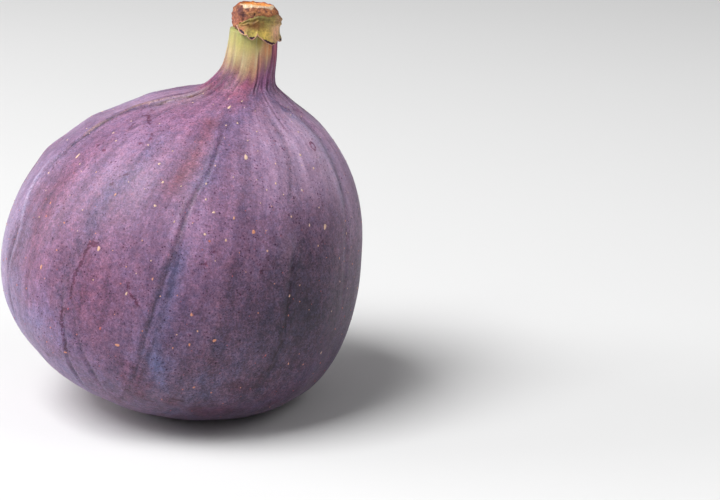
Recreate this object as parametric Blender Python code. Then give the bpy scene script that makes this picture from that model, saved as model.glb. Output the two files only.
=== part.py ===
"""A fresh purple fig, whole, resting on its soft underside with its stalk leaning to one side.

The fruit is a stack of rings threaded on an axis that runs from the eye (the small hole at the
bottom) to the top of the neck. The axis leans towards +X, and what would sink below the floor is
pressed flat, as a ripe fig settles under its own weight. A cut stalk sits on the neck, two lobed
bracts hang around it like a collar, and five small scales close the eye.

Lengths in the tables are millimetres, turned into metres by MM when a mesh is made.
Around the axis, 0 degrees is the side the fig leans to (+X), 90 is the back and 270 the front.
"""

import math

import bmesh
import bpy
import numpy as np

MM = 0.001

# ---- Driving dimensions -------------------------------------------------------------------------

LEAN_DEG = 20.0              # how far the axis leans from upright, towards +X
EYE_HEIGHT = 0.9             # the eye end of the axis above the floor
SETTLE = 0.5                 # half the depth over which the underside bends into the flat patch

# One row for each ring of the fruit, from the eye to the top of the neck:
# radius, height along the axis, sideways shift towards the leaning side, extra height on that side.
FRUIT_RINGS = (
    (0.0, 0.8, 0.0, 0.0),
    (6.0, 0.5, 0.0, 0.0),
    (12.9, 2.1, 0.7, 0.0),
    (20.8, 6.1, 2.4, 0.5),
    (26.8, 12.4, 3.0, 0.8),
    (29.3, 22.5, 2.6, 2.0),
    (27.7, 33.5, 1.8, 3.4),
    (23.6, 42.5, 1.4, 4.0),
    (17.2, 49.0, 0.9, 4.0),
    (10.2, 53.1, 0.6, 2.9),
    (5.9, 55.5, 1.5, 2.1),
    (4.4, 58.2, 2.15, 0.9),
    (3.95, 61.7, 1.75, 0.8),
    (3.7, 65.35, 0.85, 0.95),
)
FRUIT_COLUMNS = 72           # points around each ring
BODY_STEPS = 36              # rings between the eye and the top of the neck

EYE_RADII = (1.2, 2.3, 2.8, 3.3, 4.2)    # closer rings that shape the eye's pit and rim
EYE_PIT_RADIUS = 2.55        # where the pit's wall is steepest
EYE_PIT_DEPTH = 1.0
EYE_PIT_WALL = 0.35          # how far the wall spreads either side of that radius
EYE_RIM_HEIGHT = 0.2         # a low swollen rim around the pit
EYE_RIM_RADIUS = 3.5

RIBS = ((0.14, 9, 0.4), (0.09, 14, 1.9))     # height, ribs around the fruit, phase
NECK_FOLDS = ((0.16, 7, 1.1), (0.08, 11, 0.3))
NECK_START = 52.0            # axis heights between which the ribs turn into the neck's folds
NECK_FULL = 58.0

# The stalk: radius, height above the neck, sideways shift towards the leaning side.
STALK_RINGS = (
    (3.05, 0.3, 0.0),
    (3.45, 0.8, 0.0),
    (3.55, 1.6, 0.0),
    (3.5, 2.4, 0.0),
    (3.25, 3.1, 0.05),
    (2.9, 3.65, 0.1),
    (2.6, 3.85, 0.1),
    (2.2, 3.7, 0.1),
    (1.1, 3.5, 0.1),
)
STALK_COLUMNS = 32
STALK_KNOBS = ((0.12, 3, 0.6), (0.06, 8, 2.2))
CUT_SLOPE = 0.05             # the cut face rises this much per millimetre towards the back

# Each bract: the line its free edge follows, as (degrees, height above the neck's top), and the lobes
# that hang from that line, as (first degree, last degree, depth).
BRACTS = {
    "bract_front": (
        ((233.0, 0.9), (258.0, -0.25), (280.0, 0.05), (338.0, -1.05), (368.0, -1.15)),
        ((233.0, 258.0, 0.6), (258.0, 280.0, 0.9), (280.0, 338.0, 1.15), (338.0, 368.0, 0.35)),
    ),
    "bract_back": (
        ((34.0, 0.0), (144.0, 0.2)),
        ((34.0, 72.0, 1.2), (72.0, 110.0, 1.3), (110.0, 144.0, 1.1)),
    ),
}
BRACT_ROOT_RADIUS = 3.95     # inner face, at the root
BRACT_EDGE_RADIUS = 4.35     # inner face, at the free edge
BRACT_THICKNESS = 0.4
BRACT_ROOT_HEIGHT = 1.5      # root above the neck's top, where lowest
BRACT_ROOT_ARCH = 1.3        # how much higher the root arches at the front
BRACT_ROOT_PEAK_DEG = 290.0
BRACT_LOBE_POWER = 0.8       # below 1 the lobes are broad and the notches between them narrow
BRACT_ROWS = 5
BRACT_DEGREES_PER_COLUMN = 4.0

EYE_SCALES = 5
EYE_SCALE_INNER = 0.4        # from the middle of the eye to a scale's tip
EYE_SCALE_OUTER = 1.95
EYE_SCALE_GAP = 0.32         # clear space between neighbours
EYE_SCALE_THICKNESS = 0.35
EYE_SCALE_ROUNDING = 0.12    # how far a scale's outer corners are drawn in
EYE_SCALE_DROP = 0.2         # how deep the scales' outer face lies in the pit
EYE_SCALE_DOME = 0.3         # how much the middle of the ring of scales stands out
EYE_SCALE_ROWS = 3
EYE_SCALE_COLUMNS = 5

MATERIALS = {                # colour, roughness
    "fig_skin": ((0.145, 0.07, 0.155), 0.55),
    "stalk_cork": ((0.30, 0.15, 0.07), 0.85),
    "bract_green": ((0.33, 0.31, 0.09), 0.7),
    "eye_scale": ((0.26, 0.11, 0.10), 0.75),
}

# ---- Curves and directions ------------------------------------------------------------------------


def smooth_step(low, high, value):
    """0 below low, 1 above high, and an S-shaped rise between."""
    x = np.clip((value - low) / (high - low), 0.0, 1.0)
    return x * x * (3.0 - 2.0 * x)


def blend_through(rows, stations, where):
    """A smooth curve through the rows, which lie at the given stations, read at each place."""
    rows = np.asarray(rows, float)
    slopes = np.empty_like(rows)
    slopes[0] = (rows[1] - rows[0]) / (stations[1] - stations[0])
    slopes[-1] = (rows[-1] - rows[-2]) / (stations[-1] - stations[-2])
    slopes[1:-1] = (rows[2:] - rows[:-2]) / (stations[2:] - stations[:-2])[:, None]
    i = np.clip(np.searchsorted(stations, where, side="right") - 1, 0, len(stations) - 2)
    span = stations[i + 1] - stations[i]
    x = ((where - stations[i]) / span)[:, None]
    span = span[:, None]
    return (
        (2 * x**3 - 3 * x**2 + 1) * rows[i]
        + (x**3 - 2 * x**2 + x) * span * slopes[i]
        + (3 * x**2 - 2 * x**3) * rows[i + 1]
        + (x**3 - x**2) * span * slopes[i + 1]
    )


def lengths_along(rows):
    """Distance from the first row to each row, along the radius and height columns."""
    steps = np.diff(np.asarray(rows, float)[:, :2], axis=0)
    return np.concatenate([[0.0], np.cumsum(np.hypot(steps[:, 0], steps[:, 1]))])


def waves(terms, theta):
    """A sum of cosines around the axis."""
    return sum(size * np.cos(count * theta + phase) for size, count, phase in terms)


def axis_directions(lean):
    """Unit vectors of an axis leaning towards +X: its right, its back and along it."""
    right = np.array([math.cos(lean), 0.0, -math.sin(lean)])
    back = np.array([0.0, 1.0, 0.0])
    along = np.array([math.sin(lean), 0.0, math.cos(lean)])
    return right, back, along


def place(origin, lean, right, back, along):
    """Points from their three coordinates in a leaning frame."""
    x_axis, y_axis, z_axis = axis_directions(lean)
    return (
        np.asarray(origin, float)
        + right[..., None] * x_axis
        + back[..., None] * y_axis
        + along[..., None] * z_axis
    )


def settle_on_floor(points):
    """Press what lies below the floor up to it, with a soft bend around the flat patch."""
    z = points[..., 2]
    bent = (z + SETTLE) ** 2 / (4.0 * SETTLE)
    pressed = points.copy()
    pressed[..., 2] = np.where(z <= -SETTLE, 0.0, np.where(z < SETTLE, bent, z))
    return pressed


# ---- Frames of the two ends -------------------------------------------------------------------------

FIG_LEAN = math.radians(LEAN_DEG)
EYE = (0.0, 0.0, EYE_HEIGHT)


def neck_top():
    """Centre of the neck's end and the lean of the line square to it."""
    _, height, shift, rise = FRUIT_RINGS[-1]
    radius = FRUIT_RINGS[-1][0]
    centre = place(EYE, FIG_LEAN, np.array(shift), np.array(0.0), np.array(height))
    return centre, FIG_LEAN - math.atan2(rise, radius)


# ---- Meshes -------------------------------------------------------------------------------------------


def mesh_object(name, points, faces, material, parent):
    """A smooth-shaded object from points in millimetres."""
    mesh = bpy.data.meshes.new(name)
    mesh.from_pydata([tuple(p) for p in points * MM], [], faces)
    bm = bmesh.new()
    bm.from_mesh(mesh)
    bmesh.ops.recalc_face_normals(bm, faces=bm.faces)
    bm.to_mesh(mesh)
    bm.free()
    mesh.shade_smooth()
    mesh.materials.append(material)
    made = bpy.data.objects.new(name, mesh)
    made.parent = parent
    bpy.context.scene.collection.objects.link(made)
    return made


def closed_stack(rings, first_point, last_point):
    """Points and faces of a solid made of closed rings with a point at each end."""
    count, columns, _ = rings.shape
    points = np.vstack([rings.reshape(-1, 3), [first_point, last_point]])
    first = count * columns
    last = first + 1
    faces = []
    for j in range(columns):
        k = (j + 1) % columns
        faces.append((first, k, j))
        for i in range(count - 1):
            low = i * columns
            high = low + columns
            faces.append((low + j, low + k, high + k, high + j))
        faces.append((last, high + j, high + k))
    return points, faces


def open_sheet(grid):
    """Points and faces of a sheet given as rows of points."""
    rows, columns, _ = grid.shape
    faces = [
        (i * columns + j, i * columns + j + 1, (i + 1) * columns + j + 1, (i + 1) * columns + j)
        for i in range(rows - 1)
        for j in range(columns - 1)
    ]
    return grid.reshape(-1, 3), faces


def thicken(sheet, thickness, outward):
    """Give a sheet its thickness, all on one side."""
    solidify = sheet.modifiers.new("thickness", "SOLIDIFY")
    solidify.thickness = thickness * MM
    solidify.offset = 1.0 if outward else -1.0
    solidify.use_even_offset = True


# ---- The fruit ------------------------------------------------------------------------------------------


def eye_relief(radius):
    """Change of height near the eye: a pit with a low rim around it."""
    pit = smooth_step(EYE_PIT_RADIUS + EYE_PIT_WALL, EYE_PIT_RADIUS - EYE_PIT_WALL, radius)
    rim = np.exp(-((radius - EYE_RIM_RADIUS) ** 2))
    return EYE_PIT_DEPTH * pit - EYE_RIM_HEIGHT * rim


def fruit_surface(stations, theta):
    """Points of the fruit's skin, one row for each station along the outline."""
    outline = blend_through(FRUIT_RINGS, lengths_along(FRUIT_RINGS), stations)
    radius, height, shift, rise = (outline[:, c][:, None] for c in range(4))
    around = theta[None, :]
    neck = smooth_step(NECK_START, NECK_FULL, height)
    ribs = waves(RIBS, around) * smooth_step(4.0, 16.0, radius)
    folds = waves(NECK_FOLDS, around)
    swollen = radius + ribs * (1.0 - neck) + folds * neck
    right = swollen * np.cos(around) + shift
    back = swollen * np.sin(around)
    along = height + rise * np.cos(around) + eye_relief(radius)
    return settle_on_floor(place(EYE, FIG_LEAN, right, back, along))


def build_fruit(material, parent):
    length = lengths_along(FRUIT_RINGS)[-1]
    body = np.linspace(EYE_RADII[-1], length, BODY_STEPS)
    stations = np.concatenate([EYE_RADII[:-1], body])
    theta = np.linspace(0.0, 2.0 * math.pi, FRUIT_COLUMNS, endpoint=False)
    rings = fruit_surface(stations, theta)
    bottom = fruit_surface(np.array([0.0]), theta)[0, 0]
    top, _ = neck_top()
    points, faces = closed_stack(rings, bottom, top)
    return mesh_object("fruit", points, faces, material, parent)


# ---- The stalk and the bracts around it -------------------------------------------------------------------


def build_stalk(material, parent):
    """The cut stub: a corky collar that narrows to a slightly hollow cut face."""
    theta = np.linspace(0.0, 2.0 * math.pi, STALK_COLUMNS, endpoint=False)[None, :]
    radius, height, shift = (np.array(STALK_RINGS)[:, c][:, None] for c in range(3))
    knobbly = radius + waves(STALK_KNOBS, theta) * smooth_step(2.0, 3.2, radius)
    right = knobbly * np.cos(theta) + shift
    back = knobbly * np.sin(theta)
    cut = smooth_step(STALK_RINGS[3][1], STALK_RINGS[6][1], height)
    along = height + cut * CUT_SLOPE * back
    centre, lean = neck_top()
    rings = place(centre, lean, right, back, along)
    middle = np.array([[0.0, STALK_RINGS[0][1]], [shift[-1, 0], height[-1, 0]]])
    ends = place(centre, lean, middle[:, 0], np.zeros(2), middle[:, 1])
    points, faces = closed_stack(rings, ends[0], ends[1])
    return mesh_object("stalk", points, faces, material, parent)


def free_edge(line, lobes, degrees):
    """Height of a bract's free edge: a line with rounded lobes hanging from it."""
    edge = np.interp(degrees, *np.transpose(line))
    for start, end, depth in lobes:
        across = np.clip((degrees - start) / (end - start), 0.0, 1.0)
        edge = edge - depth * np.sin(math.pi * across) ** BRACT_LOBE_POWER
    return edge


def build_bract(name, material, parent):
    """A thin scale, rooted under the collar, whose lobed free edge flares off the neck."""
    line, lobes = BRACTS[name]
    start, end = line[0][0], line[-1][0]
    degrees = np.linspace(start, end, 1 + round((end - start) / BRACT_DEGREES_PER_COLUMN))[None, :]
    down = np.linspace(0.0, 1.0, BRACT_ROWS)[:, None]
    theta = np.radians(degrees)
    peak = np.cos(theta - math.radians(BRACT_ROOT_PEAK_DEG))
    root = BRACT_ROOT_HEIGHT + BRACT_ROOT_ARCH * np.clip(peak, 0.0, 1.0)
    height = root + (free_edge(line, lobes, degrees) - root) * down
    radius = BRACT_ROOT_RADIUS + (BRACT_EDGE_RADIUS - BRACT_ROOT_RADIUS) * down
    centre, lean = neck_top()
    grid = place(centre, lean, radius * np.cos(theta), radius * np.sin(theta), height)
    points, faces = open_sheet(grid)
    bract = mesh_object(name, points, faces, material, parent)
    thicken(bract, BRACT_THICKNESS, outward=True)
    return bract


# ---- The scales that close the eye --------------------------------------------------------------------------


def build_eye_scale(number, material, parent):
    """One wedge of the ring of scales, domed towards the outside."""
    share = 2.0 * math.pi / EYE_SCALES
    middle = share * number
    radius = np.linspace(EYE_SCALE_INNER, EYE_SCALE_OUTER, EYE_SCALE_ROWS)[:, None]
    spread = np.linspace(-1.0, 1.0, EYE_SCALE_COLUMNS)[None, :]
    half_width = radius * math.tan(share / 2.0) - EYE_SCALE_GAP / 2.0 / math.cos(share / 2.0)
    outward = radius * (1.0 - EYE_SCALE_ROUNDING * spread**2)
    sideways = half_width * spread
    right = outward * math.cos(middle) - sideways * math.sin(middle)
    back = outward * math.sin(middle) + sideways * math.cos(middle)
    _, skin_level, _, _ = FRUIT_RINGS[0]
    dome = EYE_SCALE_DOME * (1.0 - (outward / EYE_SCALE_OUTER) ** 2)
    along = skin_level + EYE_SCALE_DROP - dome
    points, faces = open_sheet(place(EYE, FIG_LEAN, right, back, along))
    scale = mesh_object(f"eye_scale_{number + 1}", points, faces, material, parent)
    thicken(scale, EYE_SCALE_THICKNESS, outward=False)
    return scale


# ---- Assembly ---------------------------------------------------------------------------------------------


def clear_scene():
    for old in list(bpy.data.objects):
        bpy.data.objects.remove(old, do_unlink=True)


def make_material(name):
    colour, roughness = MATERIALS[name]
    material = bpy.data.materials.new(name)
    material.use_nodes = True
    shader = material.node_tree.nodes["Principled BSDF"]
    shader.inputs["Base Color"].default_value = (*colour, 1.0)
    shader.inputs["Roughness"].default_value = roughness
    shader.inputs["Metallic"].default_value = 0.0
    return material


def centre_over_origin(frame, pieces):
    """Move the frame so that the pieces' box is centred on the vertical axis."""
    bpy.context.view_layer.update()
    corners = np.array([p.matrix_world @ v.co for p in pieces for v in p.data.vertices])
    middle = (corners.min(axis=0) + corners.max(axis=0)) / 2.0
    frame.location.x -= middle[0]
    frame.location.y -= middle[1]
    bpy.context.view_layer.update()


def build_fig():
    clear_scene()
    frame = bpy.data.objects.new("fig_frame", None)
    bpy.context.scene.collection.objects.link(frame)
    pieces = [build_fruit(make_material("fig_skin"), frame)]
    pieces.append(build_stalk(make_material("stalk_cork"), frame))
    for name in BRACTS:
        pieces.append(build_bract(name, make_material("bract_green"), frame))
    for number in range(EYE_SCALES):
        pieces.append(build_eye_scale(number, make_material("eye_scale"), frame))
    centre_over_origin(frame, pieces)


build_fig()
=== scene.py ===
"""The looks of a whole fresh fig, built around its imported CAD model.

The skin is a fine copy of the CAD fruit's own surface, with veins, creases and folds raised on it, and
maps of its colour zones worked out at each point. Shaders add the bloom, the grain and the dark specks.
Lenticels, the pale corky dots of the skin, are small domes set into it.

Lengths in the tables are millimetres. Around the fig's axis 0 degrees is the side it leans to, 90 is
the back and 270 the front. A station is the distance along the outline from the eye at the bottom.
"""

import itertools
import math
from types import SimpleNamespace

import bpy
import numpy as np
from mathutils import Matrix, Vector


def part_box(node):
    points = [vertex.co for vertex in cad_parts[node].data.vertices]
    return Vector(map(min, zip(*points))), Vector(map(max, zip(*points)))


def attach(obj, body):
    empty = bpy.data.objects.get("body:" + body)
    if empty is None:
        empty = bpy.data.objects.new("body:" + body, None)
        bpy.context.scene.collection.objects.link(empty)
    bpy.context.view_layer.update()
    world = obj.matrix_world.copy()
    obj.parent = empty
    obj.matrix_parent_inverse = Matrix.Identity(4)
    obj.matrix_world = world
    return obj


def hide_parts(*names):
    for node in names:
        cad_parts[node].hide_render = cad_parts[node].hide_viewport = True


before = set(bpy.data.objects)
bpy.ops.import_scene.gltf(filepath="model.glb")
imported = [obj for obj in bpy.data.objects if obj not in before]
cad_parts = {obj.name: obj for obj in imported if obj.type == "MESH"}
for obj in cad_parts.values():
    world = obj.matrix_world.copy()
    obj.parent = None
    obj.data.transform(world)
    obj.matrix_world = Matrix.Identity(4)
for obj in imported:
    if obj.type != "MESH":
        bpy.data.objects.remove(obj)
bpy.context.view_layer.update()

MM = 0.001

# ---- The fruit's shape, as in the CAD model

LEAN = math.radians(20.0)
EYE_HEIGHT = 0.9
SETTLE = 0.5
FRUIT_RINGS = (              # radius, height, shift and extra height on the leaning side
    (0.0, 0.8, 0.0, 0.0),
    (6.0, 0.5, 0.0, 0.0),
    (12.9, 2.1, 0.7, 0.0),
    (20.8, 6.1, 2.4, 0.5),
    (26.8, 12.4, 3.0, 0.8),
    (29.3, 22.5, 2.6, 2.0),
    (27.7, 33.5, 1.8, 3.4),
    (23.6, 42.5, 1.4, 4.0),
    (17.2, 49.0, 0.9, 4.0),
    (10.2, 53.1, 0.6, 2.9),
    (5.9, 55.5, 1.5, 2.1),
    (4.4, 58.2, 2.15, 0.9),
    (3.95, 61.7, 1.75, 0.8),
    (3.7, 65.35, 0.85, 0.95),
)
EYE_PIT_RADIUS = 2.55
EYE_PIT_DEPTH = 1.0
EYE_PIT_WALL = 0.35
EYE_RIM_HEIGHT = 0.2
EYE_RIM_RADIUS = 3.5
RIBS = ((0.14, 9, 0.4), (0.09, 14, 1.9))     # height, ribs around the fruit, phase
RIBS_BEGIN = (4.0, 16.0)     # radii between which they rise, out from the eye
RIBS_END = (58.0, 52.0)      # heights between which they fade into the neck

# ---- Shared mathematics


def smooth_step(low, high, value):
    """0 before low, 1 past high, and an S-shaped rise between; high may lie below low."""
    x = np.clip((value - low) / (high - low), 0.0, 1.0)
    return x * x * (3.0 - 2.0 * x)


def bell(distance, width):
    """1 at no distance, fading to nothing past about two widths."""
    return np.exp(-((distance / width) ** 2))


def lengths_along(rows):
    """Distance from the first row to each row, along the radius and height columns."""
    steps = np.diff(np.asarray(rows, float)[:, :2], axis=0)
    return np.concatenate([[0.0], np.cumsum(np.hypot(steps[:, 0], steps[:, 1]))])


def blend_through(rows, where):
    """A smooth curve through the rows, read at distances along them from the first."""
    stations = lengths_along(rows)
    rows = np.asarray(rows, float)
    slopes = np.empty_like(rows)
    slopes[0] = (rows[1] - rows[0]) / (stations[1] - stations[0])
    slopes[-1] = (rows[-1] - rows[-2]) / (stations[-1] - stations[-2])
    slopes[1:-1] = (rows[2:] - rows[:-2]) / (stations[2:] - stations[:-2])[:, None]
    i = np.clip(np.searchsorted(stations, where, side="right") - 1, 0, len(stations) - 2)
    span = (stations[i + 1] - stations[i])[:, None]
    x = (where - stations[i])[:, None] / span
    rise = x * x * (3.0 - 2.0 * x)
    bend = x * (1.0 - x) * span * ((1.0 - x) * slopes[i] - x * slopes[i + 1])
    return rows[i] + rise * (rows[i + 1] - rows[i]) + bend


def noise(points, cell, seed):
    """Smooth random values between -1 and 1 that change over about one cell."""
    size = 32
    lattice = np.random.default_rng(seed).uniform(-1.0, 1.0, (size, size, size))
    scaled = np.asarray(points) / cell
    base = np.floor(scaled).astype(int)
    part = scaled - base
    part = part * part * (3.0 - 2.0 * part)
    total = np.zeros(scaled.shape[:-1])
    for corner in itertools.product((0, 1), repeat=3):
        share = np.ones_like(total)
        for axis, end in enumerate(corner):
            share = share * (part[..., axis] if end else 1.0 - part[..., axis])
        x, y, z = np.moveaxis((base + corner) % size, -1, 0)
        total += share * lattice[x, y, z]
    return total


def layered_noise(points, cell, seed, layers=3):
    """Noise with finer and weaker noise added to it."""
    total = sum(noise(points, cell / 2**k, seed + k) / 2**k for k in range(layers))
    return total / (2.0 - 0.5 ** (layers - 1))


def summed_noise(points, terms, seed=0, layers=1):
    """Noises added together, from rows of height, cell and seed; seeds count from the one given."""
    return sum(height * layered_noise(points, cell, seed + number, layers) for height, cell, number in terms)


def angle_between(theta, centre):
    """Signed angle from centre to theta, in radians, the short way round."""
    return (theta - centre + math.pi) % (2.0 * math.pi) - math.pi


def full_turn(count):
    """Angles in equal steps around the axis."""
    return np.linspace(0.0, 2.0 * math.pi, count, endpoint=False)


def waves(terms, theta):
    return sum(size * np.cos(count * theta + phase) for size, count, phase in terms)


def place(origin, lean, local):
    """Points of a frame that stands at the origin and leans towards +X, as points of the scene."""
    cosine, sine = math.cos(lean), math.sin(lean)
    axes = np.array([[cosine, 0.0, -sine], [0.0, 1.0, 0.0], [sine, 0.0, cosine]])
    return np.asarray(origin, float) + np.asarray(local) @ axes


def around_axis(radius, theta, height):
    """Points at a radius and an angle around an axis, and a height along it."""
    parts = np.broadcast_arrays(radius * np.cos(theta), radius * np.sin(theta), height)
    return np.stack(parts, axis=-1)


def oval(theta, along, middle, half_size):
    """1 in the middle of an oval given in degrees and millimetres, fading to nothing around it."""
    (degrees, centre), (half_angle, half_length) = middle, half_size
    across = angle_between(theta, math.radians(degrees)) / math.radians(half_angle)
    return np.exp(-(across**2) - ((along - centre) / half_length) ** 2)


def settle_on_floor(points):
    """Press what lies below the floor up to it, with a soft bend around the flat patch."""
    z = points[..., 2]
    bent = (z + SETTLE) ** 2 / (4.0 * SETTLE)
    pressed = points.copy()
    pressed[..., 2] = np.where(z <= -SETTLE, 0.0, np.where(z < SETTLE, bent, z))
    return pressed


# ---- Colours


def srgb(red, green, blue):
    """A colour given as screen values from 0 to 255, as a linear one."""
    value = np.array([red, green, blue]) / 255.0
    return np.where(value <= 0.04045, value / 12.92, ((value + 0.055) / 1.055) ** 2.4)


def make_palette(**colours):
    return {name: srgb(*values) for name, values in colours.items()}


def mix_colour(under, over, amount):
    return under + (over - under) * np.clip(amount, 0.0, 1.0)[..., None]


def coat(colour, *layers):
    """Lay colours over a colour, one after another: each layer has its colour and its amount."""
    for over, amount in layers:
        colour = mix_colour(colour, over, amount)
    return colour


def paint_patches(colour, patches, palette, theta, along):
    """Lay soft oval patches over a colour: each has its colour, strength, middle and half size."""
    for name, strength, middle, half_size in patches:
        colour = mix_colour(colour, palette[name], strength * oval(theta, along, middle, half_size))
    return colour


def ramp(stops, palette, where):
    """Colours blended along stops given as (place, colour name)."""
    places, names = zip(*stops)
    colours = np.array([palette[name] for name in names])
    return np.stack([np.interp(where, places, channel) for channel in colours.T], axis=-1)


# ---- Where the pieces stand

BOX_ROWS, BOX_COLUMNS = 200, 72          # of the coarse fruit whose box is measured


def find_eye():
    """The eye's place: it lies as far from the fruit's box as the outline says."""
    stations = np.linspace(0.0, OUTLINE_LENGTH, BOX_ROWS)
    points = base_surface(stations, full_turn(BOX_COLUMNS), (0.0, 0.0, EYE_HEIGHT))
    low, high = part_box("fruit")
    own_middle = (points.min(axis=(0, 1)) + points.max(axis=(0, 1))) / 2.0
    middle = (np.array(low) + np.array(high)) / 2.0 / MM
    return (middle[0] - own_middle[0], middle[1] - own_middle[1], EYE_HEIGHT)


def eye_relief(radius):
    """Change of height near the eye: a pit with a low rim around it."""
    pit = smooth_step(EYE_PIT_RADIUS + EYE_PIT_WALL, EYE_PIT_RADIUS - EYE_PIT_WALL, radius)
    rim = bell(radius - EYE_RIM_RADIUS, 1.0)
    return EYE_PIT_DEPTH * pit - EYE_RIM_HEIGHT * rim


def base_surface(stations, theta, eye):
    """The smooth fruit without its fine relief, before it settles on the floor."""
    outline = blend_through(FRUIT_RINGS, stations)
    radius, height, shift, rise = (outline[:, c][:, None] for c in range(4))
    around = theta[None, :]
    body = smooth_step(*RIBS_BEGIN, radius) * smooth_step(*RIBS_END, height)
    along = height + rise * np.cos(around) + eye_relief(radius)
    local = around_axis(radius + waves(RIBS, around) * body, around, along)
    local[..., 0] += shift
    return place(eye, LEAN, local)


OUTLINE_LENGTH = lengths_along(FRUIT_RINGS)[-1]
EYE = find_eye()


def neck_top():
    """Centre of the neck's end and the lean of the line square to it."""
    radius, height, shift, rise = FRUIT_RINGS[-1]
    return place(EYE, LEAN, (shift, 0.0, height)), LEAN - math.atan2(rise, radius)


# ---- Relief of the skin

EQUATOR = 29.3               # radius that turns an angle into a distance around the fruit
PATH_FADE = 0.15             # share of a path over which each of its ends fades
PATH_OVERRUN = 1.0           # how far the fading ends reach past it
WANDER_CELL = 5.0            # cell of the noise that makes a path waver
CREASE_SEED, CREASE_UNEVEN_SEED = 300, 340
CREASE_WANDER = 0.3
CREASE_BANKS = 0.35          # height of the banks beside a crease, as a share of its depth
SHADED_DEPTH = 0.15          # a crease this deep or deeper gets its full painted shade
VEINS = 34
VEIN_SEED, VEIN_UNEVEN_SEED = 11, 380
VEIN_HEIGHT = 0.06
VEIN_WIDTHS = (0.35, 0.8)
VEIN_LOWEST = (25.0, 55.0)   # stations at which veins begin

# Each crease: width, depth, then its path as (station, degrees) from the neck's end downwards.
CREASES = (
    (0.26, 0.12, ((75, 273), (70, 272), (66, 270.5), (62, 268), (56, 267))),
    (0.28, 0.28, ((62, 268), (56, 266.8), (45, 266.5), (30, 265), (20, 264))),
    (0.4, 0.12, ((54, 269.5), (48, 269.3), (40, 269), (28, 267.5))),
    (0.32, 0.3, ((44, 235), (39, 237), (33, 240), (27, 242), (20, 246))),
    (0.35, 0.25, ((42, 239), (36, 243), (31, 248), (23, 257))),
    (0.5, 0.15, ((44, 286), (36, 287), (28, 286), (20, 284))),
    (0.4, 0.2, ((59, 308), (50, 307), (40, 309), (30, 308))),
    (0.4, 0.09, ((80, 307), (76, 310), (70, 309), (62, 304))),
    (0.3, 0.28, ((82, 210), (78, 202), (75, 197), (71, 198.5), (66, 202), (60, 202.5), (53, 206))),
    (0.35, 0.1, ((82, 230), (76, 226), (70, 221), (64, 219))),
    (0.32, 0.22, ((62, 203), (54, 201), (47, 206), (36, 206), (28, 208))),
    (0.35, 0.09, ((58, 213), (50, 216), (43, 220), (34, 222))),
    (0.7, 0.13, ((80, 345), (74, 342), (66, 340), (56, 336), (44, 335))),
    (0.6, 0.15, ((82, 60), (70, 66), (56, 68), (36, 66))),
    (0.5, 0.12, ((81, 118), (70, 112), (58, 110), (44, 113))),
    (0.5, 0.14, ((80, 160), (70, 158), (60, 163), (40, 160))),
    (0.45, 0.1, ((66, 22), (55, 26), (40, 24), (28, 28))),
)
NECK_CREASES = (
    (0.15, 0.16, ((91.5, 290), (89, 293), (86, 297), (84, 298.5))),
    (0.17, 0.18, ((89, 306), (87, 307), (84, 313), (80, 316), (74, 316))),
    (0.18, 0.32, ((94.4, 322), (91.5, 325), (88, 319), (85, 322), (82, 327), (78, 337), (73, 342))),
    (0.18, 0.2, ((92, 338), (88, 336), (85, 338), (82, 343), (77, 350))),
    (0.3, 0.2, ((94, 350), (88, 352), (82, 356), (76, 352))),
    (0.4, 0.05, ((94, 250), (90, 250), (86, 251), (82, 252))),
    (0.35, 0.06, ((94, 224), (90, 226), (85, 229), (80, 233))),
    (0.3, 0.24, ((85, 213), (83.5, 214), (81.5, 220), (79, 214), (77, 208))),
    (0.4, 0.12, ((93, 196), (89, 196), (84, 198), (79, 196))),
    (0.35, 0.22, ((94.8, 48), (89, 50), (84, 55), (78, 58))),
    (0.35, 0.18, ((94.8, 88), (90, 90), (85, 88), (79, 84))),
    (0.35, 0.2, ((94.8, 142), (90, 138), (85, 134), (79, 136))),
)

# Low swellings: height, middle as (degrees, station), half size as (degrees, millimetres).
SWELLINGS = (
    (0.45, (184, 67.2), (16, 2.3)),
    (0.35, (168, 77), (18, 2.2)),
    (0.35, (180, 57.5), (14, 2.4)),
    (0.2, (222, 70), (7, 9)),
    (0.2, (253, 60), (8, 14)),
    (0.25, (288, 62), (9, 12)),
    (0.2, (322, 66), (9, 10)),
    (0.2, (225, 42), (8, 12)),
    (0.2, (40, 60), (10, 14)),
    (0.2, (90, 52), (9, 16)),
    (0.25, (135, 62), (10, 12)),
    (0.2, (172, 46), (9, 13)),
)


def path_angle(path, stations):
    """The angle of a path at each station, in radians, and 1 where the path runs, 0 elsewhere."""
    ordered = np.array(sorted(path), float)
    angle = np.radians(np.interp(stations, ordered[:, 0], ordered[:, 1]))
    start, end = ordered[0, 0], ordered[-1, 0]
    fade = PATH_FADE * (end - start)
    within = smooth_step(start - PATH_OVERRUN, start + fade, stations)
    if end < OUTLINE_LENGTH - PATH_OVERRUN:
        within = within * smooth_step(end + PATH_OVERRUN, end - fade, stations)
    return angle, within


def offset_from(path, grid, seed, wander):
    """Distance around the fruit from a wavering path, and where along it the path runs."""
    angle, within = path_angle(path, grid.stations)
    offset = angle_between(grid.around, angle[:, None]) * grid.radius
    return offset + wander * noise(grid.points, WANDER_CELL, seed), within[:, None]


def make_creases(table, grid):
    """Relief of the creases in a table, and a mask of where they lie, which sets the painted shade along
    them.
    """
    relief = np.zeros(grid.shape)
    mask = np.zeros(grid.shape)
    for number, (width, depth, path) in enumerate(table):
        offset, within = offset_from(path, grid, CREASE_SEED + number, CREASE_WANDER)
        uneven = 0.7 + 0.45 * noise(grid.points, 3.0, CREASE_UNEVEN_SEED + number)
        line = bell(offset, width) * within * uneven
        banks = bell(np.abs(offset) - 2.0 * width, width) * within
        relief += depth * (CREASE_BANKS * banks - line)
        mask = np.maximum(mask, line * min(1.0, depth / SHADED_DEPTH))
    return relief, mask


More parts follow.
